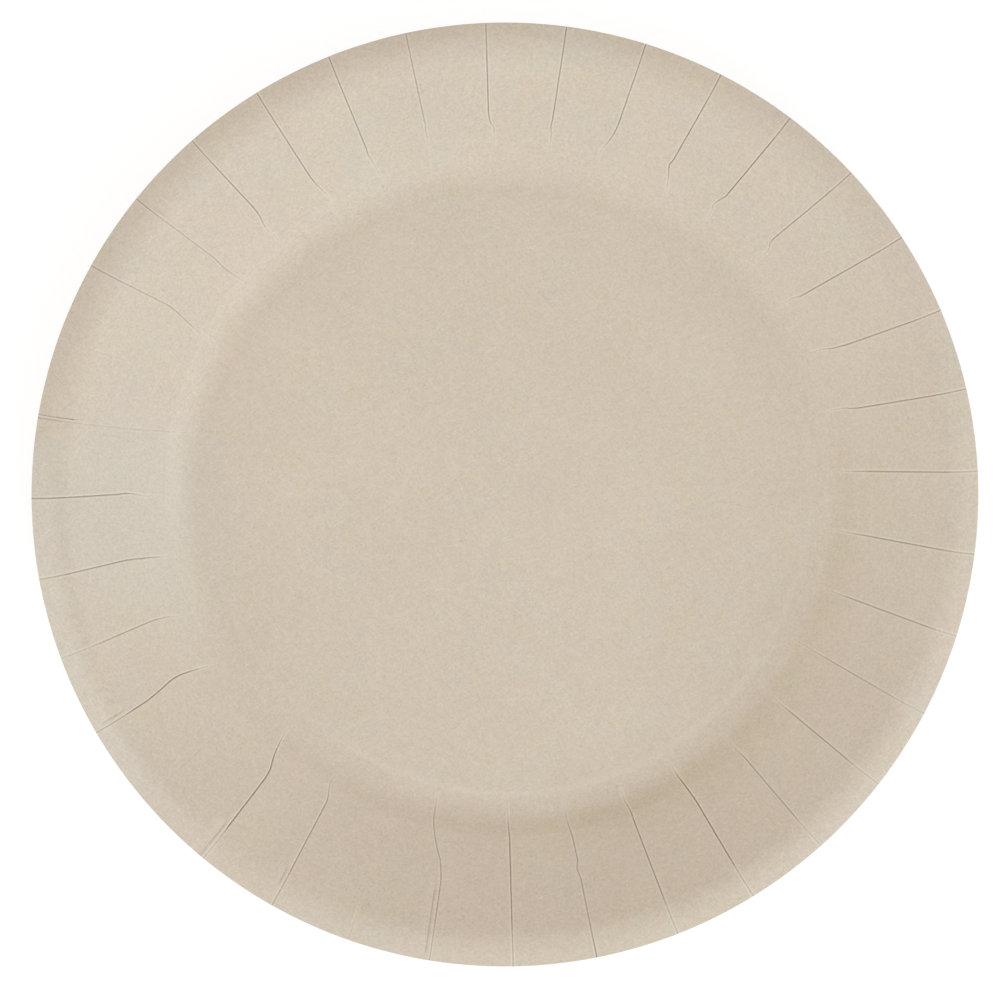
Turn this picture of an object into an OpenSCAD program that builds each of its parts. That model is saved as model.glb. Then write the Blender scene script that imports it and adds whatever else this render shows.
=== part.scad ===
// Round paper plate: one disc of board, pressed into a flat base, a curved wall,
// a sloping flange and a lip that turns down to the cut edge. Pressing a flat disc
// into a dish leaves its edge too long, and pleats round the rim take up the spare
// length: each one is a fold, a crease in the top face and a ridge on the underside.
// Sizes are in millimetres. The origin is the centre of the underside, and +Z is up.

/* [Plate] */
// Diameter over the cut edge of the rim
rim_d = 230; // [180:1:300]
// Height from the table to the crest of the rim
rim_h = 16; // [13:0.5:19]
// Thickness of the board
board_t = 0.5; // [0.3:0.05:0.8]

/* [Section] */
// Run of the lip, from the crest of the rim out to the cut edge
lip_w = 5; // [3:0.25:7]
// Radius of the lip's bend, on the top face
lip_bend_r = 9; // [8.5:0.5:14]
// Fall of the lip from its bend to the cut edge, in degrees
lip_fall = 18; // [8:1:30]
// Run of the flange, from the knee out to the crest of the rim
flange_w = 24.5; // [18:0.5:36]
// Radius of the bend at the knee, on the top face
knee_bend_r = 4; // [2:0.5:10]
// Height of the knee above the base, on the top face
knee_h = 3.4; // [2:0.2:6]
// Run of the wall, from the base's corner out to the knee
wall_w = 4.4; // [3:0.2:9]
// Radius of the bend between the base and the wall, on the top face
base_bend_r = 14; // [4:0.5:16]

/* [Pleats] */
// Number of pleats round the rim
pleat_count = 36; // [12:1:48]
// Angle of the first pleat from the +X axis
pleat_turn = 1.5; // [0:0.5:10]
// Run from the knee out to the tip of a pleat
tip_run = 0.5; // [0:0.5:10]
// Run over which a pleat grows from its tip to its full width
taper_run = 4; // [1:0.5:8]
// Width of a pleat's crease in the top face
crease_w = 0.4; // [0.2:0.05:0.7]
// Depth of a pleat's crease in the top face
crease_d = 0.25; // [0.1:0.05:0.4]
// Width of a pleat's ridge on the underside
ridge_w = 1.2; // [0.8:0.1:2]
// Height of a pleat's ridge below the underside
ridge_h = 0.25; // [0.15:0.05:0.5]

/* [Hidden] */

// Colour of the uncoated board
board_colour = "#d0c4b4";
// Share of the wall's length that the bend at its foot may take up
bend_share = 0.75;
// Largest turn between two points of a bend, in degrees
bend_step = 10;
// Length by which the section reaches past the cut edge, before it is trimmed there
trim_over = 0.5;
// Facets of a full turn
$fn = 180;

// Direction along the board and direction out of its top face, at a given slope
function along(slope) = [cos(slope), sin(slope)];
function outward(slope) = [-sin(slope), cos(slope)];

// Points of a bend about a centre, each a place on the top face and the slope there.
// A positive radius is a hill, and a negative one is a valley.
function bend(centre, radius, slope_a, slope_b) =
    let (steps = ceil(abs(slope_b - slope_a) / bend_step))
    [for (i = [0:steps])
        let (slope = slope_a + (slope_b - slope_a) * i / steps)
        [centre + radius * outward(slope), slope]];

// Corners of the section, before its bends
rim_r = rim_d / 2;
crest_r = rim_r - lip_w;
knee = [crest_r - flange_w, board_t + knee_h];
base_corner = [knee.x - wall_w, board_t];

// Lip: its bend has its crest at the rim's height, the flange is tangent to it, and the board
// runs straight on from the bend to the cut edge
lip_centre = [crest_r, rim_h - lip_bend_r];
to_lip = lip_centre - knee;
flange_slope = atan2(to_lip.y, to_lip.x) + asin(lip_bend_r / norm(to_lip));
edge_slope = -min(lip_fall, asin(lip_w / lip_bend_r));
bend_end = lip_centre + lip_bend_r * outward(edge_slope);
edge_end = bend_end + (rim_r + trim_over - bend_end.x) / cos(edge_slope) * along(edge_slope);

// Wall: its slope, and the bends at its foot and its head
wall_slope = atan2(knee_h, wall_w);
wall_l = norm([wall_w, knee_h]);
foot_r = min(base_bend_r, bend_share * wall_l / tan(wall_slope / 2));
foot_reach = foot_r * tan(wall_slope / 2);
foot_centre = base_corner + [-foot_reach, foot_r];
knee_reach = knee_bend_r * tan((wall_slope - flange_slope) / 2);
knee_centre = knee - knee_reach * along(wall_slope) - knee_bend_r * outward(wall_slope);

// The board's top face from the centre to just past the cut edge
sheet = concat(
    [[[0, board_t], 0]],
    bend(foot_centre, -foot_r, 0, wall_slope),
    bend(knee_centre, knee_bend_r, wall_slope, flange_slope),
    bend(lip_centre, lip_bend_r, flange_slope, edge_slope),
    [[edge_end, edge_slope]]
);

// Plan of the pleats: their tips, where they reach full width, and their ends past the edge
tip_r = knee.x + tip_run;
full_r = tip_r + taper_run;
fold_end_r = rim_r + trim_over / 2;

// A turned layer that follows the section between two heights over the top face and is
// trimmed at a radius
module layer(upper, lower, end_r) {
    upper_face = [for (s = sheet) s[0] + upper * outward(s[1])];
    lower_face = [for (i = [len(sheet) - 1:-1:0]) sheet[i][0] + lower * outward(sheet[i][1])];
    rotate_extrude() intersection() {
        polygon(concat(upper_face, lower_face));
        square([end_r, rim_h + trim_over]);
    }
}

// Plan of one fold along +X, growing from a point at its tip to its full width
module fold_plan(fold_w) {
    polygon([
        [tip_r, 0],
        [full_r, -fold_w / 2],
        [fold_end_r, -fold_w / 2],
        [fold_end_r, fold_w / 2],
        [full_r, fold_w / 2]
    ]);
}

// The part of such a layer that lies in the folds round the rim
module folds(fold_w, upper, lower, end_r) {
    intersection() {
        layer(upper, lower, end_r);
        linear_extrude(rim_h + trim_over)
            for (i = [0:pleat_count - 1])
                rotate(pleat_turn + i * 360 / pleat_count) fold_plan(fold_w);
    }
}

// The pressed board with the ridges under its pleats, less the creases above them
module plate() {
    color(board_colour) difference() {
        union() {
            layer(0, -board_t, rim_r);
            folds(ridge_w, -board_t / 2, -board_t - ridge_h, rim_r);
        }
        folds(crease_w, crease_d, -crease_d, fold_end_r);
    }
}

plate();
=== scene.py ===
"""A round paper plate of uncoated kraft board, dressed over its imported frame."""

import logging
import math
from dataclasses import dataclass, field
from enum import Enum
from typing import Any, Union

import bmesh
import bpy
from mathutils import Matrix, Vector


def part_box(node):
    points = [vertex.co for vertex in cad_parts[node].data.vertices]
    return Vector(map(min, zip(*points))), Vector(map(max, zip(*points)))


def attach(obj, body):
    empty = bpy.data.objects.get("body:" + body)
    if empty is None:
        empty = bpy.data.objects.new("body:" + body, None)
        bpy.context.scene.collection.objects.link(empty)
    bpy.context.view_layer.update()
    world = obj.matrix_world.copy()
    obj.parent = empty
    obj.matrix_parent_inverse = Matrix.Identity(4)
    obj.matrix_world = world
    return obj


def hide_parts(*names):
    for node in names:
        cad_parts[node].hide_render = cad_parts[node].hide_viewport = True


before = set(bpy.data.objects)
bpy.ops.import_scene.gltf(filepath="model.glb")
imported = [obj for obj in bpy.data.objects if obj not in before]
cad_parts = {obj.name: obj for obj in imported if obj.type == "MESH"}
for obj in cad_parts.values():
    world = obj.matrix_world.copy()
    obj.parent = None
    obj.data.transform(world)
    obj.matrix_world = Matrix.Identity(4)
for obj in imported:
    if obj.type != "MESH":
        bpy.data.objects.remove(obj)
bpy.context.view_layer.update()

MM = 0.001
FULL_TURN = 360.0
WHITE = (1.0, 1.0, 1.0, 1.0)
LOG = logging.getLogger("paper_plate")

# Average of a cloudy pattern, and the places of two outputs among those of their nodes
MEAN = 0.5
OBJECT_OUTPUT = 3
VALUE_OUTPUT = 2

Colour = tuple[float, float, float, float]
Point = tuple[float, float, float]
Span = tuple[float, float]
Knots = tuple[Span, ...]


def smooth_step(low: float, high: float, value: float) -> float:
    """Ease from 0 to 1 as a value passes from one limit to another.

    Args:
        low: value at which the result leaves 0.
        high: value at which the result reaches 1.
        value: value to place between them.

    Returns:
        The eased share, from 0 to 1.
    """
    share = min(max((value - low) / (high - low), 0.0), 1.0)
    return share * share * (3.0 - 2.0 * share)


def along(slope: float) -> Vector:
    """Direction in the XZ plane at a slope above +X, in radians."""
    return Vector((math.cos(slope), 0.0, math.sin(slope)))


def outward(slope: float) -> Vector:
    """Direction out of the top of a board that lies at a slope, in radians."""
    return Vector((-math.sin(slope), 0.0, math.cos(slope)))


@dataclass(frozen=True)
class Ring:
    """A ring round the plate's axis that fades in and out, with radii in metres."""

    rise: Span
    fall: Span

    def share(self, radius: float) -> float:
        """Share of the ring at a radius, from 0 to 1."""
        return smooth_step(*self.rise, radius) - smooth_step(*self.fall, radius)

    def shade(self, radius: "Shade") -> "Shade":
        """Share of the ring at a radius that a material reads, from 0 to 1."""
        return radius.ramp(*self.rise) - radius.ramp(*self.fall)


@dataclass(frozen=True)
class Cloud:
    """A cloudy pattern: size of a cloud in metres, octaves of finer cloud and their weight."""

    size: float
    detail: float = 2.0
    rough: float = 0.5


@dataclass(frozen=True)
class Patch:
    """A soft round patch: its centre, how far it is full, where it ends, and its strength."""

    centre: Point
    full: float
    gone: float
    strength: float


class Shade:
    """A socket that carries a value, on which arithmetic adds Math nodes."""

    def __init__(self, sheet: "NodeSheet", socket: bpy.types.NodeSocket) -> None:
        """Keep the socket and the sheet that its nodes are added to.

        Args:
            sheet: node sheet of the material.
            socket: output socket that carries the value.
        """
        self.sheet = sheet
        self.socket = socket

    def math(self, operation: str, first: Any, second: Any) -> "Shade":
        """Add one Math node.

        Args:
            operation: Blender's name of the operation.
            first: first value or link.
            second: second value or link.

        Returns:
            The node's result.
        """
        return self.sheet.add("ShaderNodeMath", {"operation": operation}, {0: first, 1: second})[0]

    def __add__(self, other: Any) -> "Shade":
        """This value plus another."""
        return self.math("ADD", self, other)

    def __sub__(self, other: Any) -> "Shade":
        """This value less another."""
        return self.math("SUBTRACT", self, other)

    def __mul__(self, other: Any) -> "Shade":
        """This value times another."""
        return self.math("MULTIPLY", self, other)

    def __rsub__(self, other: Any) -> "Shade":
        """A number less this value."""
        return self.math("SUBTRACT", other, self)

    __radd__ = __add__
    __rmul__ = __mul__

    def ramp(self, low: float, high: float) -> "Shade":
        """Ease this value from 0 to 1 between two limits.

        Args:
            low: value that becomes 0.
            high: value that becomes 1.

        Returns:
            The eased value.
        """
        settings = {"interpolation_type": "SMOOTHSTEP"}
        sockets = {"Value": self, "From Min": low, "From Max": high}
        return self.sheet.add("ShaderNodeMapRange", settings, sockets)[0]


class NodeSheet:
    """The node tree of one material or world."""

    def __init__(self, owner: Union[bpy.types.Material, bpy.types.World]) -> None:
        """Empty the owner's node tree.

        Args:
            owner: material or world whose nodes are written.
        """
        owner.use_nodes = True
        self.tree = owner.node_tree
        self.tree.nodes.clear()

    def add(self, kind: str, settings: dict[str, Any], sockets: dict[Any, Any]) -> list[Shade]:
        """Add a node, set it up and fill its sockets.

        Args:
            kind: Blender's type name of the node.
            settings: properties of the node, set before its sockets are used.
            sockets: input name or place to a value or a link.

        Returns:
            The node's outputs that are in use, in order.
        """
        node = self.tree.nodes.new(kind)
        for name, value in settings.items():
            setattr(node, name, value)
        for key, value in sockets.items():
            target = self.find(node, key)
            if isinstance(value, Shade):
                self.tree.links.new(value.socket, target)
            else:
                target.default_value = value
        return [Shade(self, socket) for socket in node.outputs if socket.enabled]

    @staticmethod
    def find(node: bpy.types.Node, key: Any) -> bpy.types.NodeSocket:
        """Find an input among those that the node's settings leave in use.

        Args:
            node: node to look at.
            key: the input's name or its place.

        Returns:
            The input socket.
        """
        open_inputs = [socket for socket in node.inputs if socket.enabled]
        if isinstance(key, int):
            return open_inputs[key]
        return next(socket for socket in open_inputs if socket.name == key)

    def noise(self, place: Shade, cloud: Cloud) -> Shade:
        """Add a cloudy pattern.

        Args:
            place: coordinates, in metres.
            cloud: sizes of the pattern.

        Returns:
            The pattern's value, about 0.5 on average.
        """
        return self.add("ShaderNodeTexNoise", {}, {
            "Vector": place,
            "Scale": 1.0 / cloud.size,
            "Detail": cloud.detail,
            "Roughness": cloud.rough,
        })[0]

    def turned(self, place: Shade, angle: float, stretch: float = 1.0) -> Shade:
        """Turn coordinates about +Z and stretch the pattern along their own X axis.

        Args:
            place: coordinates, in metres.
            angle: turn, in degrees.
            stretch: how many times longer than wide the pattern becomes.

        Returns:
            The new coordinates.
        """
        return self.add("ShaderNodeMapping", {"vector_type": "TEXTURE"}, {
            "Vector": place,
            "Rotation": (0.0, 0.0, math.radians(angle)),
            "Scale": (stretch, 1.0, 1.0),
        })[0]

    def patch(self, place: Shade, patch: Patch) -> Shade:
        """Add a soft round patch.

        Args:
            place: coordinates, in metres.
            patch: sizes and strength of the patch.

        Returns:
            The patch's value: its strength at the centre, and 0 outside it.
        """
        sockets = {0: place, 1: patch.centre}
        far = self.add("ShaderNodeVectorMath", {"operation": "DISTANCE"}, sockets)[0]
        return (1.0 - far.ramp(patch.full, patch.gone)) * patch.strength

    def stored(self, name: str) -> Shade:
        """Add the value of a vertex attribute."""
        return self.add("ShaderNodeAttribute", {"attribute_name": name}, {})[VALUE_OUTPUT]

    def blend(self, share: Any, first: Any, second: Any) -> Shade:
        """Mix two colours.

        Args:
            share: weight of the second colour.
            first: colour at a share of 0.
            second: colour at a share of 1.

        Returns:
            The mixed colour.
        """
        sockets = {"Factor": share, "A": first, "B": second}
        return self.add("ShaderNodeMix", {"data_type": "RGBA"}, sockets)[0]

    def finish(self, kind: str, surface: Shade) -> None:
        """Link the finished shader to an output node.

        Args:
            kind: type name of the output node.
            surface: shader to show.
        """
        self.add(kind, {}, {"Surface": surface})


@dataclass(frozen=True)
class BoardFinish:
    """Uncoated kraft board: felted fibres, cloudy tone and a few dark specks, with light and shade painted
    into its colour on the base, the wall, the flange, the lip and the creases.

    Values that end in _tone are shares by which a pattern or a ring lightens or darkens
    the board, and those that end in _relief are weights in its relief.
    """

    colour: Colour = (0.636, 0.557, 0.458, 1.0)
    warm: Colour = (0.644, 0.552, 0.430, 1.0)
    rosy: Colour = (0.647, 0.547, 0.448, 1.0)
    # Darker, warmer colour of painted shade
    painted_shade_colour: Colour = (0.60, 0.515, 0.375, 1.0)
    # Cool colour of the lamps' light, painted on the lit left flange
    cool_painted_light: Colour = (0.622, 0.570, 0.483, 1.0)
    # Lighter colour of painted light and of the painted highlight beside creases
    painted_light: Colour = (0.74, 0.67, 0.57, 1.0)
    speck: Colour = (0.36, 0.29, 0.21, 1.0)
    # Dark crease colour: partly the pressed board, partly painted shade in the groove
    crease: Colour = (0.35, 0.27, 0.18, 1.0)
    mottle: Cloud = Cloud(22 * MM)
    mottle_tone: float = 0.07
    felt: Cloud = Cloud(1.5 * MM, rough=0.6)
    felt_tone: float = 0.13
    felt_relief: float = 0.5
    grain: Cloud = Cloud(0.55 * MM, detail=1.0)
    grain_tone: float = 0.26
    grain_relief: float = 0.3
    fibre: Cloud = Cloud(0.35 * MM)
    fibre_turns: Span = (28.0, -47.0)
    fibre_stretch: float = 5.0
    fibre_tone: float = 0.15
    fibre_relief: float = 0.25
    warmth: Cloud = Cloud(8 * MM, rough=0.6)
    blush: Cloud = Cloud(24 * MM, rough=0.6)
    blush_turn: float = 70.0
    hue_span: Span = (0.35, 0.65)
    specks: Cloud = Cloud(0.8 * MM, detail=0.0)
    speck_span: Span = (0.80, 0.90)
    speck_share: float = 0.3
    # Share of the painted highlight in the colour
    painted_light_share: float = 0.7
    crease_shade_share: float = 0.61
    flange_span: Span = (84.0 * MM, 100.0 * MM)
    flange_tone: float = 0.018
    crest_span: Span = (105.5 * MM, 108.5 * MM)
    crest_tone: float = 0.02
    base_span: Span = (77.0 * MM, 83.0 * MM)
    wall_ring: Ring = Ring((80.5 * MM, 83.0 * MM), (85.0 * MM, 95.0 * MM))
    lip_span: Span = (108.5 * MM, 113.0 * MM)
    # Painted light on the left of the base and painted shade on its right front, where the lamps light it
    # unevenly
    painted_light_base: Patch = Patch((-66 * MM, 22 * MM, 0.5 * MM), 10 * MM, 62 * MM, 0.025)
    painted_shade_base: Patch = Patch((64 * MM, -34 * MM, 0.5 * MM), 6 * MM, 48 * MM, 0.022)
    # Painted lamp light: the left flange, which the right lamp lights, turns cooler
    painted_cool_light_flange: Patch = Patch((-88 * MM, -4 * MM, 8 * MM), 12 * MM, 38 * MM, 0.45)
    # Painted shade on the right front of the wall and on the front of the lip, where less light falls
    painted_shade_wall: Patch = Patch((68 * MM, -50 * MM, 3 * MM), 40 * MM, 84 * MM, 0.5)
    painted_shade_lip: Patch = Patch((26 * MM, -109 * MM, 14 * MM), 22 * MM, 58 * MM, 0.35)
    # Painted light on the left of the lip, where more light falls
    painted_light_lip: Patch = Patch((-107 * MM, -34 * MM, 14 * MM), 28 * MM, 62 * MM, 0.45)
    relief_height: float = 0.12 * MM
    relief_strength: float = 0.35
    roughness: float = 0.88
    specular: float = 0.25

    def material(self) -> bpy.types.Material:
        """Build the board's material.

        Returns:
            The material, which reads Object coordinates and two vertex attributes: how deep a point lies in
            a crease, and the painted highlight beside creases and round the base.
        """
        material = bpy.data.materials.new("kraft_board")
        sheet = NodeSheet(material)
        place = sheet.add("ShaderNodeTexCoord", {}, {})[OBJECT_OUTPUT]
        radius = sheet.add("ShaderNodeVectorMath", {"operation": "LENGTH"}, {"Vector": place})[0]
        felt = sheet.noise(place, self.felt)
        grain = sheet.noise(place, self.grain)
        first, second = (
            sheet.noise(sheet.turned(place, turn, self.fibre_stretch), self.fibre)
            for turn in self.fibre_turns
        )
        fibres = first + second
        tone = (
            self.broad_tone(sheet, place, radius)
            + (felt - MEAN) * self.felt_tone
            + (grain - MEAN) * self.grain_tone
            + (fibres - 2.0 * MEAN) * self.fibre_tone
        )
        hue = self.hue(sheet, place, radius)
        scaled = {"Vector": hue, "Scale": tone}
        toned = sheet.add("ShaderNodeVectorMath", {"operation": "SCALE"}, scaled)[0]
        relief = (
            felt * self.felt_relief + grain * self.grain_relief + fibres * self.fibre_relief
        )
        bump = sheet.add("ShaderNodeBump", {}, {
            "Strength": self.relief_strength,
            "Distance": self.relief_height,
            "Height": relief,
        })[0]
        surface = sheet.add("ShaderNodeBsdfPrincipled", {}, {
            "Base Color": self.marked(sheet, place, toned),
            "Roughness": self.roughness,
            "Specular IOR Level": self.specular,
            "Normal": bump,
        })[0]
        sheet.finish("ShaderNodeOutputMaterial", surface)
        return material

    def broad_tone(self, sheet: NodeSheet, place: Shade, radius: Shade) -> Shade:
        """Add the slow changes of the board's lightness, with painted light on the left of the base and
        painted shade on its right front.

        Args:
            sheet: sheet to add the nodes to.
            place: coordinates, in metres.
            radius: distance from the origin, in metres.

        Returns:
            The lightness, about 1.
        """
        base = 1.0 - radius.ramp(*self.base_span)
        return (
            1.0
            + (sheet.noise(place, self.mottle) - MEAN) * self.mottle_tone
            - radius.ramp(*self.flange_span) * self.flange_tone
            - radius.ramp(*self.crest_span) * self.crest_tone
            # painted light on the left of the base, painted shade on its right front
            + base * sheet.patch(place, self.painted_light_base)
            - base * sheet.patch(place, self.painted_shade_base)
        )

    def hue(self, sheet: NodeSheet, place: Shade, radius: Shade) -> Shade:
        """Add the board's colour, with its warm and rosy clouds, and with painted light and painted shade
        in patches: the lamps' cool light on the left flange, shade on the right front of the wall and on
        the front of the lip, and light on the left of the lip.

        Args:
            sheet: sheet to add the nodes to.
            place: coordinates, in metres.
            radius: distance from the origin, in metres.

        Returns:
            The colour.
        """
        warmth = sheet.noise(place, self.warmth).ramp(*self.hue_span)
        turned = sheet.turned(place, self.blush_turn)
        blush = sheet.noise(turned, self.blush).ramp(*self.hue_span)
        board = sheet.blend(blush, sheet.blend(warmth, self.colour, self.warm), self.rosy)
        # painted light: the cool colour of the lamps on the lit left flange
        board = sheet.blend(sheet.patch(place, self.painted_cool_light_flange), board, self.cool_painted_light)
        lip = radius.ramp(*self.lip_span)
        # painted shade on the right front of the wall and on the front of the lip
        painted_shade = (
            self.wall_ring.shade(radius) * sheet.patch(place, self.painted_shade_wall)
            + lip * sheet.patch(place, self.painted_shade_lip)
        )
        board = sheet.blend(painted_shade, board, self.painted_shade_colour)
        # painted light on the left of the lip
        return sheet.blend(lip * sheet.patch(place, self.painted_light_lip), board, self.painted_light)

    def marked(self, sheet: NodeSheet, place: Shade, board: Shade) -> Shade:
        """Add specks, painted highlight beside the creases, painted light round the base, and dark creases
        (partly pressed board, partly painted shade) to the board's colour.

        Args:
            sheet: sheet to add the nodes to.
            place: coordinates, in metres.
            board: the plain board's colour.

        Returns:
            The marked colour.
        """
        specks = sheet.noise(place, self.specks).ramp(*self.speck_span)
        board = sheet.blend(specks * self.speck_share, board, self.speck)
        # painted highlight beside the creases and painted light round the base, from the vertex attribute
        board = sheet.blend(sheet.stored("painted_light") * self.painted_light_share, board, self.painted_light)
        # dark creases: partly the pressed board, partly painted shade in the groove
        return sheet.blend(sheet.stored("crease") * self.crease_shade_share, board, self.crease)


@dataclass(frozen=True)
class FloorFinish:
    """Plain white floor that stays white to the camera and still takes the shadow."""

    albedo: float = 0.8
    seen_albedo: float = 0.2
    seen_glow: float = 0.86

    def material(self) -> bpy.types.Material:
        """Build the floor's material.

        Returns:
            The material: a matt white, lifted to paper white where it is seen.
        """
        material = bpy.data.materials.new("studio_floor")
        sheet = NodeSheet(material)
        seen = seen_directly(sheet)
        matt = self.matt(sheet, self.albedo)
        shine = {"Color": WHITE, "Strength": self.seen_glow}
        glow = sheet.add("ShaderNodeEmission", {}, shine)[0]
        pale = self.matt(sheet, self.seen_albedo)
        lifted = sheet.add("ShaderNodeAddShader", {}, {0: pale, 1: glow})[0]
        surface = sheet.add("ShaderNodeMixShader", {}, {0: seen, 1: matt, 2: lifted})[0]
        sheet.finish("ShaderNodeOutputMaterial", surface)
        return material

    @staticmethod
    def matt(sheet: NodeSheet, albedo: float) -> Shade:
        """Add a matt grey shader.

        Args:
            sheet: sheet to add it to.
            albedo: share of the light that it returns.

        Returns:
            The shader.
        """
        return sheet.add("ShaderNodeBsdfDiffuse", {}, {"Color": (albedo, albedo, albedo, 1.0)})[0]


def seen_directly(sheet: NodeSheet) -> Shade:
    """Tell rays that show a surface to the camera from those that light the scene.

    Args:
        sheet: sheet to add the nodes to.

    Returns:
        1 for camera, glossy and transmission rays, 0 for the rest.
    """
    path = sheet.add("ShaderNodeLightPath", {}, {})
    by_name = {shade.socket.name: shade for shade in path}
    return by_name["Is Camera Ray"] + by_name["Is Glossy Ray"] + by_name["Is Transmission Ray"]


@dataclass(frozen=True)
class Section:
    """Sizes of the pressed board's section, on its top face, in metres."""

    rim_r: float
    rim_h: float
    board: float = 0.5 * MM
    lip_run: float = 5.0 * MM
    lip_bend: float = 9.0 * MM
    lip_fall: float = math.radians(18.0)
    flange_run: float = 24.5 * MM
    knee_bend: float = 4.0 * MM
    knee_rise: float = 3.4 * MM
    wall_run: float = 4.4 * MM
    foot_share: float = 0.55
    edge_round: float = 0.12 * MM

    @property
    def crest_r(self) -> float:
        """Radius of the rim's crest."""
        return self.rim_r - self.lip_run

    @property
    def knee(self) -> Vector:
        """Corner between the wall and the flange."""
        return Vector((self.crest_r - self.flange_run, 0.0, self.board + self.knee_rise))

    @property
    def foot(self) -> Vector:
        """Corner between the base and the wall."""
        return Vector((self.knee.x - self.wall_run, 0.0, self.board))

    @property
    def lip_centre(self) -> Vector:
        """Centre of the lip's bend."""
        return Vector((self.crest_r, 0.0, self.rim_h - self.lip_bend))

    @property
    def wall_slope(self) -> float:
        """Slope of the wall, in radians."""
        return math.atan2(self.knee_rise, self.wall_run)

    @property
    def foot_reach(self) -> float:
        """Length of the wall that the bend at its foot takes up."""
        return self.foot_share * (self.knee - self.foot).length

    @property
    def foot_bend(self) -> float:
        """Radius of the bend at the wall's foot."""
        return self.foot_reach / math.tan(self.wall_slope / 2)

    @property
    def flange_slope(self) -> float:
        """Slope of the flange, which is tangent to the lip's bend, in radians."""
        reach = self.lip_centre - self.knee
        return math.atan2(reach.z, reach.x) + math.asin(self.lip_bend / reach.length)

    @property
    def lip_straight(self) -> float:
        """Measure the straight board between the lip's bend and the cut edge's round corner.

        Returns:
            Its length, in metres.
        """
        corner = self.edge_round * (1.0 - math.sin(self.lip_fall))
        run = self.lip_run - corner - self.lip_bend * math.sin(self.lip_fall)
        return run / math.cos(self.lip_fall)


class SectionPen:
    """Draws the outline of a section in the XZ plane, one stretch after another."""

    def __init__(self, mesh: bmesh.types.BMesh, start: Vector) -> None:
        """Put the pen down.

        Args:
            mesh: mesh to draw into.
            start: first point of the outline.
        """
        self.mesh = mesh
        self.tip = mesh.verts.new(start)

    def line(self, end: Vector, parts: int) -> None:
        """Draw a straight stretch.

        Args:
            end: point to draw to.
            parts: number of equal edges in the stretch.
        """
        start = self.tip.co.copy()
        for step in range(1, parts + 1):
            grown = bmesh.ops.extrude_vert_indiv(self.mesh, verts=[self.tip])
            self.tip = grown["verts"][0]
            self.tip.co = start.lerp(end, step / parts)

    def ahead(self, slope: float, length: float, parts: int) -> None:
        """Draw a straight stretch in a direction.

        Args:
            slope: direction above the horizontal, in radians.
            length: length of the stretch.
            parts: number of equal edges in the stretch.
        """
        self.line(self.tip.co + length * along(slope), parts)

    def bend(self, centre: Vector, turn: float, parts: int) -> None:
        """Draw a round stretch.

        Args:
            centre: centre of the bend.
            turn: angle of the bend, clockwise if positive, in radians.
            parts: number of equal edges in the stretch.
        """
        grown = bmesh.ops.spin(
            self.mesh, geom=[self.tip], cent=centre, axis=(0.0, 1.0, 0.0), angle=turn, steps=parts
        )
        self.tip = next(part for part in grown["geom_last"] if isinstance(part, bmesh.types.BMVert))


@dataclass(frozen=True)
class Pleat:
    """One pleat: how deep it is pressed and how its crease strays from a straight line.

    Lengths are in millimetres: radii from the plate's axis, and shifts to the side,
    anticlockwise if positive. The crease is straight outside the first knot of its path.
    """

    depth: float = 1.0
    lip: float = 0.85
    lip_from: float = 107.0
    tail: float = 86.0
    path: Knots = ()
    twin: float = 0.0
    twin_from: float = 105.0
    twin_to: float = 120.0
    twin_depth: float = 0.35
    grow_run: float = 8.0
    lip_ease: float = 3.0
    twin_ease: float = 1.5
    # Reach of the painted highlight on the crease's shoulders, before and after the tail
    highlight_before: float = 2.5
    highlight_after: float = 2.0

    def shift(self, radius: float) -> float:
        """Shift of the crease to the side.

        Args:
            radius: distance from the plate's axis, in metres.

        Returns:
            The shift, in metres.
        """
        here = radius / MM
        if not self.path or here >= self.path[0][0]:
            return 0.0
        for (outer, far), (inner, near) in zip(self.path, self.path[1:]):
            if here >= inner:
                return (near + (far - near) * (here - inner) / (outer - inner)) * MM
        return self.path[-1][1] * MM

    def strength(self, radius: float) -> float:
        """Depth of the crease along its length.

        Args:
            radius: distance from the plate's axis, in metres.

        Returns:
            The depth, as a share of the full depth.
        """
        grow = smooth_step(self.tail * MM, (self.tail + self.grow_run) * MM, radius)
        eased = smooth_step(self.lip_from * MM, (self.lip_from + self.lip_ease) * MM, radius)
        return self.depth * grow * (1.0 - (1.0 - self.lip) * eased)

    def twin_strength(self, radius: float) -> float:
        """Depth of the second crease that runs beside the first over part of its length.

        Args:
            radius: distance from the plate's axis, in metres.

        Returns:
            The depth, as a share of the full depth.
        """
        start = smooth_step(self.twin_from * MM, (self.twin_from + self.twin_ease) * MM, radius)
        end = 1.0 - smooth_step((self.twin_to - self.twin_ease) * MM, self.twin_to * MM, radius)
        return self.twin_depth * start * end


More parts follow.
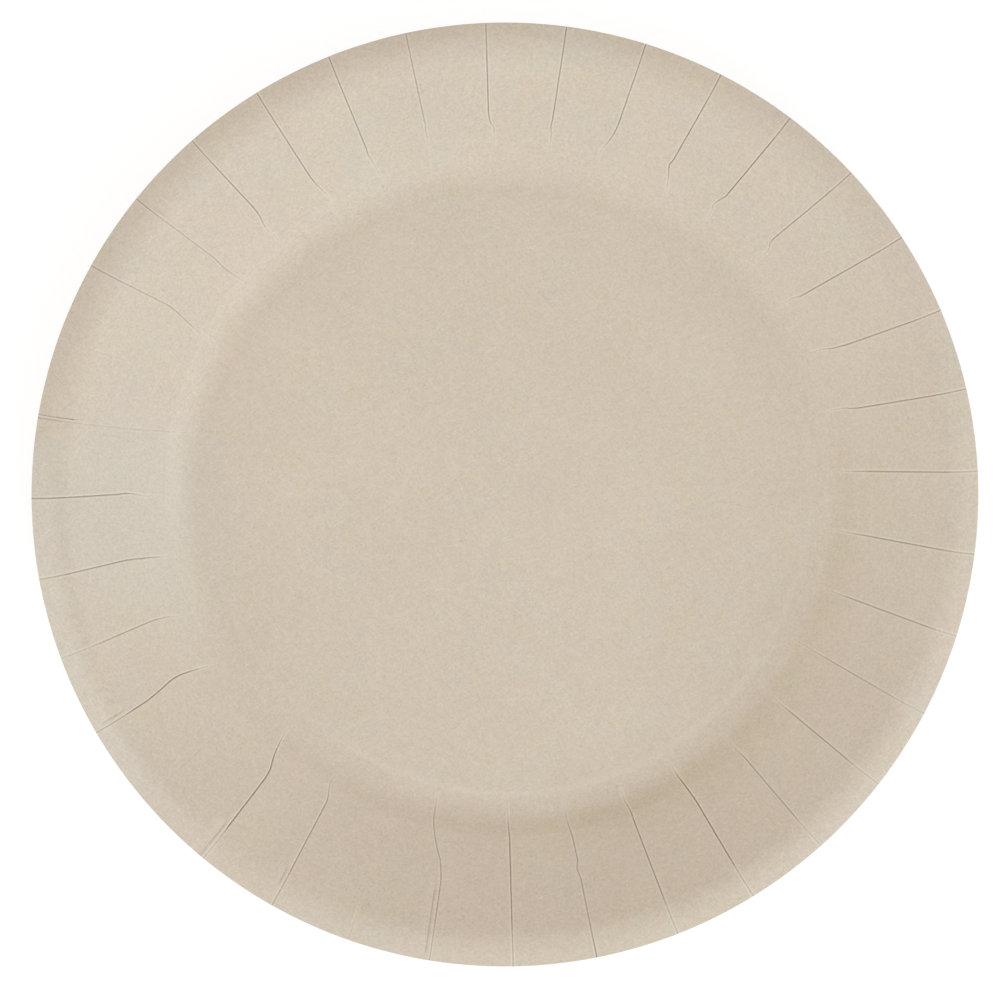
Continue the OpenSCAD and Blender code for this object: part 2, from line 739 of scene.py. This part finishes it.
PLEATS = (
    Pleat(depth=0.85, lip=0.5, tail=82.5),
    Pleat(depth=0.9, lip=0.65, tail=82.5, path=((89.5, 0.0), (88.0, 0.1), (86.0, 0.6))),
    Pleat(depth=0.85, lip=0.7, tail=82.5, path=((91.0, 0.0), (88.0, 0.3), (85.5, 1.0))),
    Pleat(depth=0.9, lip=0.75, tail=82.5, path=((87.5, 0.0), (85.5, 0.6))),
    Pleat(depth=0.8, lip=0.7, tail=84.5, path=((90.5, 0.0), (89.5, -0.3), (88.5, -1.2), (87.0, -1.4))),
    Pleat(depth=1.05, lip=0.75, tail=85.0, path=((91.0, 0.0), (88.8, 0.9), (87.6, 1.1), (86.2, 0.2))),
    Pleat(depth=0.95, lip=0.8, tail=84.0, path=((91.7, 0.0), (90.6, 0.4), (88.0, -0.9), (84.0, -2.6))),
    Pleat(depth=0.85, path=((95.0, 0.0), (93.0, 0.2), (90.5, 0.9), (88.3, 2.0), (87.0, 1.9))),
    Pleat(depth=0.85, lip=0.95, path=((93.0, 0.0), (91.6, 0.2), (90.0, -0.2), (87.0, -0.4))),
    Pleat(
        depth=0.95, lip=0.7, tail=87.0,
        path=((94.0, 0.0), (91.7, -0.4), (91.0, -1.2), (87.0, -1.3), (85.0, -0.8)),
    ),
    Pleat(depth=0.7, tail=88.0, path=((94.0, 0.0), (93.2, -0.2), (92.5, 0.2))),
    Pleat(depth=0.95, lip=0.9, path=((92.0, 0.0), (90.5, 0.2), (89.5, -0.1), (87.0, -0.4))),
    Pleat(depth=0.95, lip=0.8, tail=85.0, path=((92.0, 0.0), (90.0, -0.3), (88.5, -0.7), (85.5, -1.4))),
    Pleat(depth=0.95, lip=0.7, path=((94.0, 0.0), (92.0, 0.3), (90.0, 1.0), (88.5, 1.3), (87.0, 1.0))),
    Pleat(
        depth=0.55, lip=1.2, tail=81.5, twin=-1.0, twin_from=105.5, twin_to=110.5,
        path=((93.0, 0.0), (91.0, 0.3), (89.5, 0.6), (87.5, 0.4)),
    ),
    Pleat(
        depth=0.65, lip=1.0, tail=84.0,
        path=((95.5, 0.0), (93.0, 0.5), (90.0, 1.6), (87.0, 2.5), (85.0, 2.9)),
    ),
    Pleat(depth=0.2, lip=0.6, tail=95.0),
    Pleat(
        depth=0.27, lip=2.0, tail=81.0, twin=-0.9, twin_from=104.0, twin_to=112.0, twin_depth=0.28,
        path=((98.0, 0.0), (93.0, -0.1), (88.0, -0.5)),
    ),
    Pleat(depth=0.95, lip=0.95, tail=88.0, path=((96.0, 0.0), (94.0, -0.2), (92.5, 0.0), (89.5, 0.9))),
    Pleat(depth=0.85, lip=0.6, tail=85.0, path=((95.0, 0.0), (92.0, 0.4), (89.0, 0.9), (85.5, 1.5))),
    Pleat(depth=0.65, lip=0.4, lip_from=104.0, tail=86.0, path=((93.0, 0.0), (90.0, 0.5), (87.0, 1.7))),
    Pleat(
        depth=1.05, lip=0.5, lip_from=104.0, tail=85.0, twin=-1.2, twin_from=105.5, twin_to=113.0,
        path=(
            (101.0, 0.0), (98.0, -0.4), (95.0, -1.0), (93.5, -1.1), (92.0, -0.9), (90.0, -0.3), (86.0, 1.0),
        ),
    ),
    Pleat(depth=0.14, tail=88.0),
    Pleat(
        depth=1.15, lip=0.25, lip_from=104.0, tail=81.5, twin=-1.1, twin_from=104.0,
        path=((92.0, 0.0), (90.0, -0.4), (88.5, -1.2), (87.0, -1.9), (83.0, -3.1)),
    ),
    Pleat(
        depth=0.75, lip=0.7, lip_from=104.0, tail=82.5, twin=-1.1, twin_from=104.5, twin_to=109.5,
        path=((88.5, 0.0), (87.0, -0.6), (85.0, -1.6), (82.0, -0.8)),
    ),
    Pleat(depth=0.4, lip=0.6, tail=105.0),
    Pleat(
        depth=0.65, lip=0.65, lip_from=104.0, tail=77.5, twin=-1.2, twin_from=97.0, twin_to=114.0,
        path=((96.0, 0.0), (92.0, -0.9), (90.0, -2.0), (87.0, -3.2), (84.0, -4.1)),
    ),
    Pleat(depth=0.95, lip=0.5, lip_from=104.0, tail=79.0, path=((86.0, 0.0), (82.5, -0.3))),
    Pleat(
        depth=0.7, lip=1.5, lip_from=108.5, tail=79.0,
        path=((96.0, 0.0), (94.5, -0.4), (93.5, -0.4), (92.3, 0.1), (87.0, 0.0), (83.0, -0.6)),
    ),
    Pleat(depth=0.9, lip=0.5, lip_from=104.0, tail=79.5, path=((86.5, 0.0), (84.5, 0.2), (82.5, -0.4))),
    Pleat(
        depth=1.15, lip=0.4, lip_from=104.0, tail=78.5,
        path=((89.0, 0.0), (84.0, -0.5), (82.5, -0.8)),
    ),
    Pleat(depth=0.7, lip=0.45, lip_from=104.0, tail=82.0, path=((88.0, 0.0), (84.0, -0.5))),
    Pleat(depth=0.82, lip=0.45, lip_from=104.0, tail=83.0),
    Pleat(depth=0.6, lip=0.7, lip_from=104.0, tail=82.5),
    Pleat(depth=0.8, lip=0.45, tail=82.5),
    Pleat(depth=0.85, lip=0.6, tail=82.5),
)


class Side(Enum):
    """Side of the board that a point lies on, as its vertex layer holds it."""

    TOP = 0.0
    EDGE = 0.5
    UNDER = 1.0


@dataclass(frozen=True)
class FaceParts:
    """Numbers of edges in the stretches of one face's section, from the axis outwards."""

    base: int
    foot: int
    wall: int
    knee: int
    flange: int
    crest: int
    lip: int


@dataclass
class PressedPlate:
    """The plate: one board, spun from its section and creased at its pleats.

    Lengths are in metres, apart from foot_stray, which holds bearings in degrees and
    shifts of the wall's foot in millimetres.
    """

    section: Section
    finish: BoardFinish
    pleats: tuple[Pleat, ...] = PLEATS
    first_turn: float = math.radians(1.66)
    crease_centre: Vector = field(default_factory=lambda: Vector((-1.44 * MM, 4.56 * MM)))
    well_shift: Vector = field(default_factory=lambda: Vector((1.0 * MM, 0.6 * MM)))
    top_parts: FaceParts = FaceParts(base=9, foot=9, wall=1, knee=3, flange=28, crest=11, lip=4)
    under_parts: FaceParts = FaceParts(base=6, foot=5, wall=1, knee=2, flange=8, crest=7, lip=2)
    base_rim: float = 8 * MM
    base_rim_parts: int = 11
    corner_parts: int = 3
    columns: int = 20
    gather: float = 9.0
    gather_span: Span = (45 * MM, 76 * MM)
    twin_column: int = -6
    twin_step: float = 0.2 * MM
    crease_half: float = 0.19 * MM
    crease_deep: float = 0.42 * MM
    ridge_half: float = 0.6 * MM
    ridge_high: float = 0.25 * MM
    swell_half: float = 1.5 * MM
    swell_high: float = 0.05 * MM
    # Place and width of the painted highlight on a crease's shoulders
    highlight_off: float = 0.35 * MM
    highlight_half: float = 0.14 * MM
    groove_deep: float = 0.12 * MM
    groove_ring: Ring = Ring((74.6 * MM, 76.8 * MM), (76.8 * MM, 79.5 * MM))
    # Ring of painted light on the inner side of the groove, stronger at the front
    light_ring: Ring = Ring((73.8 * MM, 75.2 * MM), (75.6 * MM, 77.0 * MM))
    light_ring_share: float = 0.17
    light_ring_swing: float = 0.11
    well_ring: Ring = Ring((20 * MM, 70 * MM), (85 * MM, 108 * MM))
    foot_ring: Ring = Ring((74 * MM, 78 * MM), (80 * MM, 87 * MM))
    foot_stray: Knots = (
        (30.0, 0.6), (80.0, -0.5), (130.0, 0.0), (182.0, 0.9),
        (240.0, -0.9), (298.0, 0.1), (332.0, -0.7),
    )
    piece: Any = field(default=None, init=False)

    @property
    def pitch(self) -> float:
        """Angle between two pleats, in radians."""
        return math.tau / len(self.pleats)

    def build(self) -> bpy.types.Object:
        """Make the plate's mesh and its object.

        Returns:
            The new object.
        """
        mesh = bmesh.new()
        side = mesh.verts.layers.float.new("underside")
        crease = mesh.verts.layers.float.new("crease")
        # Vertex layer of painted highlight and painted light
        painted_light = mesh.verts.layers.float.new("painted_light")
        self.draw_section(mesh, side)
        self.spin(mesh)
        self.press(mesh, side, crease, painted_light)
        bmesh.ops.recalc_face_normals(mesh, faces=mesh.faces)
        for face in mesh.faces:
            face.smooth = True
        data = bpy.data.meshes.new("plate_board")
        mesh.to_mesh(data)
        mesh.free()
        self.piece = bpy.data.objects.new("plate_board", data)
        bpy.context.scene.collection.objects.link(self.piece)
        return self.piece

    def draw_section(self, mesh: bmesh.types.BMesh, side: Any) -> None:
        """Draw the section's outline: top face, cut edge and underside.

        Args:
            mesh: mesh to draw into.
            side: vertex layer that holds a point's side of the board.
        """
        size = self.section
        pen = SectionPen(mesh, Vector((0.0, 0.0, size.board)))
        self.draw_face(pen, 0.0, outwards=True)
        top = set(mesh.verts)
        self.draw_edge(pen)
        edge = set(mesh.verts) - top
        self.draw_face(pen, size.board, outwards=False)
        for vert in mesh.verts:
            here = Side.TOP if vert in top else Side.EDGE if vert in edge else Side.UNDER
            vert[side] = here.value

    def draw_face(self, pen: SectionPen, depth: float, outwards: bool) -> None:
        """Draw one face of the board between the axis and the cut edge.

        Args:
            pen: pen that stands at the axis, or at the cut edge.
            depth: distance below the top face.
            outwards: whether to draw from the axis to the edge.
        """
        size = self.section
        wall, flange, fall = size.wall_slope, size.flange_slope, size.lip_fall
        knee_reach = size.knee_bend * math.tan((wall - flange) / 2)
        foot_centre = size.foot + Vector((-size.foot_reach, 0.0, size.foot_bend))
        knee_centre = size.knee - knee_reach * along(wall) - size.knee_bend * outward(wall)
        base_end = Vector((foot_centre.x, 0.0, size.board - depth))
        wall_length = (size.knee - size.foot).length - size.foot_reach - knee_reach
        lip_start = size.lip_centre + (size.lip_bend - depth) * outward(flange)
        knee_end = knee_centre + (size.knee_bend - depth) * outward(flange)
        flange_length = (lip_start - knee_end).length
        if outwards:
            parts = self.top_parts
            pen.line(base_end - Vector((self.base_rim, 0.0, 0.0)), parts.base)
            pen.line(base_end, self.base_rim_parts)
            pen.bend(foot_centre, -wall, parts.foot)
            pen.ahead(wall, wall_length, parts.wall)
            pen.bend(knee_centre, wall - flange, parts.knee)
            pen.ahead(flange, flange_length, parts.flange)
            pen.bend(size.lip_centre, flange + fall, parts.crest)
            pen.ahead(-fall, size.lip_straight, parts.lip)
        else:
            parts = self.under_parts
            pen.ahead(math.pi - fall, size.lip_straight, parts.lip)
            pen.bend(size.lip_centre, -flange - fall, parts.crest)
            pen.ahead(flange + math.pi, flange_length, parts.flange)
            pen.bend(knee_centre, flange - wall, parts.knee)
            pen.ahead(wall + math.pi, wall_length, parts.wall)
            pen.bend(foot_centre, wall, parts.foot)
            pen.line(Vector((0.0, 0.0, size.board - depth)), parts.base)

    def draw_edge(self, pen: SectionPen) -> None:
        """Draw the cut edge, with its two corners a little round.

        Args:
            pen: pen that stands at the end of the top face.
        """
        size = self.section
        inward = -size.lip_fall - math.pi / 2
        pen.bend(pen.tip.co + size.edge_round * along(inward), math.pi / 2, self.corner_parts)
        pen.ahead(inward, size.board - 2 * size.edge_round, 1)
        back = inward - math.pi / 2
        pen.bend(pen.tip.co + size.edge_round * along(back), math.pi / 2, self.corner_parts)

    def spin(self, mesh: bmesh.types.BMesh) -> None:
        """Spin the section round the axis and close the two poles.

        Args:
            mesh: mesh that holds the section's outline.
        """
        outline = list(mesh.verts) + list(mesh.edges)
        steps = self.columns * len(self.pleats)
        bmesh.ops.spin(
            mesh, geom=outline, cent=(0.0, 0.0, 0.0), axis=(0.0, 0.0, 1.0),
            angle=math.tau, steps=steps, use_merge=True,
        )
        poles = [vert for vert in mesh.verts if vert.co.xy.length < self.section.edge_round]
        bmesh.ops.remove_doubles(mesh, verts=poles, dist=self.section.edge_round / 2)
        bmesh.ops.recalc_face_normals(mesh, faces=mesh.faces)

    def press(self, mesh: bmesh.types.BMesh, side: Any, crease: Any, painted_light: Any) -> None:
        """Gather the columns at the pleats, then press the creases, the ridges and the groove.

        Args:
            mesh: mesh of the smooth dish.
            side: vertex layer that holds a point's side of the board.
            crease: vertex layer that receives how deep a point lies in a crease.
            painted_light: vertex layer that receives the painted highlight and painted light at a point.
        """
        mesh.normal_update()
        leans = {vert: vert.normal.copy() for vert in mesh.verts}
        for vert in mesh.verts:
            radius = vert.co.xy.length
            if radius < self.section.edge_round:
                continue
            turns = (math.atan2(vert.co.y, vert.co.x) - self.first_turn) / self.pitch
            index = math.floor(turns + 0.5)
            pleat = self.pleats[index % len(self.pleats)]
            off_line = self.off_line(pleat, turns - index, radius)
            turn = self.turn(pleat, index, off_line, radius)
            out = Vector((math.cos(turn), math.sin(turn), 0.0))
            slope = leans[vert].xy.dot(vert.co.xy) / radius
            normal = out * slope + Vector((0.0, 0.0, leans[vert].z))
            reach = radius + self.well_stretch(out, radius) + self.stray(turn, radius)
            place = out * reach + Vector((0.0, 0.0, vert.co.z))
            vert.co = place
            if vert[side] == Side.TOP.value:
                dip = self.dip(pleat, radius, off_line)
                # how deep the point lies in the crease, which the material darkens, partly with painted
                # shade
                vert[crease] = dip
                # painted highlight on the crease's shoulders and painted light on the ring inside the
                # groove
                vert[painted_light] = self.shoulder_highlight(pleat, radius, off_line) + self.painted_light_ring(turn, radius)
                rise = self.swell(pleat, radius, off_line) - dip * self.crease_deep
                vert.co = place + normal * (rise - self.groove(radius))
            elif vert[side] == Side.UNDER.value:
                spread = max(0.0, 1.0 - abs(off_line) / self.ridge_half)
                vert.co = place + normal * pleat.strength(radius) * spread * self.ridge_high

    def off_line(self, pleat: Pleat, part: float, radius: float) -> float:
        """Place a column beside its pleat, close to the crease where pleats run.

        Args:
            pleat: the pleat.
            part: place of the column among the even columns, as a share of the pitch.
            radius: distance from the plate's axis, in metres.

        Returns:
            The column's distance from the crease's line, in metres.
        """
        width = self.pitch * radius
        gathered = width * math.sinh(self.gather * part) / (2.0 * math.sinh(self.gather / 2.0))
        beside = round(part * self.columns) - self.twin_column
        if pleat.twin and abs(beside) <= 1:
            gathered = pleat.twin * MM + beside * self.twin_step
        return part * width + (gathered - part * width) * self.pull(radius)

    def pull(self, radius: float) -> float:
        """Share by which the columns are drawn to the creases at a radius, from 0 to 1."""
        return smooth_step(*self.gather_span, radius)

    def turn(self, pleat: Pleat, index: int, off_line: float, radius: float) -> float:
        """Angle at which a column lies, on creases that meet beside the plate's axis.

        Args:
            pleat: the pleat.
            index: number of the pleat.
            off_line: distance from the crease's line, in metres.
            radius: distance from the plate's axis, in metres.

        Returns:
            The angle, in radians.
        """
        even = self.first_turn + index * self.pitch + off_line / radius
        aside = self.crease_centre.y * math.cos(even) - self.crease_centre.x * math.sin(even)
        share = 2.0 * off_line / (self.pitch * radius)
        strayed = aside + pleat.shift(radius) * (1.0 - share * share) ** 2
        lean = math.asin(strayed / max(radius, self.gather_span[0]))
        return even + lean * self.pull(radius)

    def well_stretch(self, out: Vector, radius: float) -> float:
        """Shift of the well's wall to one side of the rim, in metres."""
        return self.well_shift.dot(out.xy) * self.well_ring.share(radius)

    def stray(self, turn: float, radius: float) -> float:
        """Shift of the wall's foot from a true round, which the board doesn't keep.

        Args:
            turn: bearing, in radians.
            radius: distance from the plate's axis, in metres.

        Returns:
            The shift outwards, in metres.
        """
        first, last = self.foot_stray[0], self.foot_stray[-1]
        before = (last[0] - FULL_TURN, last[1])
        after = (first[0] + FULL_TURN, first[1])
        ring = (before, *self.foot_stray, after)
        bearing = math.degrees(turn) % FULL_TURN
        shift = 0.0
        for (start, near), (end, far) in zip(ring, ring[1:]):
            if start <= bearing <= end:
                shift = near + (far - near) * smooth_step(start, end, bearing)
        return shift * MM * self.foot_ring.share(radius)

    def dip(self, pleat: Pleat, radius: float, off_line: float) -> float:
        """Measure how deep a point lies in a pleat's crease or in its twin.

        Args:
            pleat: the pleat.
            radius: distance from the plate's axis, in metres.
            off_line: distance from the crease's line, in metres.

        Returns:
            The depth, as a share of the full depth.
        """
        dip = pleat.strength(radius) * max(0.0, 1.0 - abs(off_line) / self.crease_half)
        if pleat.twin:
            beside = abs(off_line - pleat.twin * MM) / self.crease_half
            dip = max(dip, pleat.twin_strength(radius) * max(0.0, 1.0 - beside))
        return dip

    def shoulder_highlight(self, pleat: Pleat, radius: float, off_line: float) -> float:
        """Measure the painted highlight on the two shoulders of a crease.

        Args:
            pleat: the pleat.
            radius: distance from the plate's axis, in metres.
            off_line: distance from the crease's line, in metres.

        Returns:
            The share of painted highlight, from 0 to 1.
        """
        across = (abs(off_line) - self.highlight_off) / self.highlight_half
        start = (pleat.tail - pleat.highlight_before) * MM
        grow = smooth_step(start, (pleat.tail + pleat.highlight_after) * MM, radius)
        return min(1.0, pleat.depth) * grow * math.exp(-across * across)

    def swell(self, pleat: Pleat, radius: float, off_line: float) -> float:
        """Rise of the board beside a crease, in metres."""
        across = off_line / self.swell_half
        return self.swell_high * pleat.strength(radius) * math.exp(-across * across)

    def groove(self, radius: float) -> float:
        """Depth of the shallow groove round the base, just inside the wall, in metres."""
        return self.groove_deep * self.groove_ring.share(radius)

    def painted_light_ring(self, turn: float, radius: float) -> float:
        """Share of painted light on the inner side of the groove, most at the front."""
        share = self.light_ring_share - self.light_ring_swing * math.sin(turn)
        return share * self.light_ring.share(radius)

    def dress(self) -> None:
        """Give the plate its finish and tie it to the frame."""
        self.piece.data.materials.append(self.finish.material())
        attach(self.piece, "root")
        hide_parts("plate")


class Fall(Enum):
    """Where a soft light stands round the plate: its bearing and its height, in degrees."""

    RIGHT = (0.0, 14.0)
    LEFT = (180.0, 14.0)
    FRONT = (300.0, 32.0)


@dataclass
class Studio:
    """Floor, soft light and camera."""

    floor_half: float = 1.5
    floor_drop: float = 0.2 * MM
    light_far: float = 2.6
    light_size: float = 1.3
    light_watts: tuple[float, float, float] = (15.8, 17.7, 23.4)
    light_tint: tuple[float, float, float] = (0.80, 1.0, 1.17)
    sky: float = 0.714
    sky_tint: Colour = (1.06, 1.0, 0.938, 1.0)
    seen_sky: float = 1.0
    camera_height: float = 85.5
    camera_bearing: float = 91.0
    camera_far: float = 0.480
    camera_lens: float = 70.15
    camera_sensor: float = 36.0
    aim: Vector = field(default_factory=lambda: Vector((-1.23 * MM, 0.32 * MM, 8.0 * MM)))

    @staticmethod
    def toward(bearing: float, height: float) -> Vector:
        """Point from the plate towards a bearing and a height.

        Args:
            bearing: angle round +Z from +X, in degrees.
            height: angle above the floor, in degrees.

        Returns:
            The direction, of length 1.
        """
        turn, lift = math.radians(bearing), math.radians(height)
        level = math.cos(lift)
        return Vector((level * math.cos(turn), level * math.sin(turn), math.sin(lift)))

    def build(self) -> None:
        """Make the floor, the lights, the world and the camera."""
        self.lay_floor()
        for fall, watts in zip(Fall, self.light_watts):
            self.hang_light(fall, watts)
        self.fill_sky()
        self.set_camera()

    def lay_floor(self) -> None:
        """Lay the floor just under the plate."""
        mesh = bmesh.new()
        bmesh.ops.create_grid(mesh, x_segments=1, y_segments=1, size=self.floor_half)
        bmesh.ops.translate(mesh, verts=mesh.verts, vec=(0.0, 0.0, -self.floor_drop))
        data = bpy.data.meshes.new("studio_floor")
        mesh.to_mesh(data)
        mesh.free()
        floor = bpy.data.objects.new("studio_floor", data)
        data.materials.append(FloorFinish().material())
        bpy.context.scene.collection.objects.link(floor)

    def hang_light(self, fall: Fall, watts: float) -> None:
        """Hang one soft light that faces the plate.

        Args:
            fall: where the light stands.
            watts: its power.
        """
        lamp = bpy.data.lights.new("soft_" + fall.name.lower(), "AREA")
        lamp.shape = "DISK"
        lamp.size = self.light_size
        lamp.energy = watts
        lamp.color = self.light_tint
        holder = bpy.data.objects.new(lamp.name, lamp)
        direction = self.toward(*fall.value)
        holder.location = direction * self.light_far
        holder.rotation_euler = direction.to_track_quat("Z", "Y").to_euler()
        holder.visible_camera = False
        bpy.context.scene.collection.objects.link(holder)

    def fill_sky(self) -> None:
        """Fill the world with even light, white where it is seen."""
        world = bpy.data.worlds.new("studio_sky")
        sheet = NodeSheet(world)
        even, white = (
            sheet.add("ShaderNodeBackground", {}, {"Color": colour, "Strength": strength})[0]
            for colour, strength in ((self.sky_tint, self.sky), (WHITE, self.seen_sky))
        )
        shares = {0: seen_directly(sheet), 1: even, 2: white}
        surface = sheet.add("ShaderNodeMixShader", {}, shares)[0]
        sheet.finish("ShaderNodeOutputWorld", surface)
        bpy.context.scene.world = world

    def set_camera(self) -> None:
        """Set the camera almost straight above the plate, with +Y up in the picture."""
        lens = bpy.data.cameras.new("camera")
        lens.sensor_fit = "HORIZONTAL"
        lens.sensor_width = self.camera_sensor
        lens.lens = self.camera_lens
        back = self.toward(self.camera_bearing, self.camera_height)
        right = Vector((0.0, 1.0, 0.0)).cross(back).normalized()
        up = back.cross(right)
        holder = bpy.data.objects.new("camera", lens)
        spot = self.aim + back * self.camera_far
        facing = Matrix((right, up, back)).transposed().to_4x4()
        holder.matrix_world = Matrix.Translation(spot) @ facing
        bpy.context.scene.collection.objects.link(holder)
        bpy.context.scene.camera = holder


def main() -> None:
    """Build the plate and the studio round it."""
    logging.basicConfig(level=logging.INFO)
    low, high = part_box("plate")
    rim_r = min(high.x, high.y, -low.x, -low.y)
    section = Section(rim_r, rim_h=high.z - PressedPlate.swell_high)
    plate = PressedPlate(section, BoardFinish())
    piece = plate.build()
    plate.dress()
    LOG.info("%s: %d faces", piece.name, len(piece.data.polygons))
    studio = Studio()
    studio.build()
    bpy.context.scene.view_settings.view_transform = "Standard"


if __name__ == "__main__":
    main()
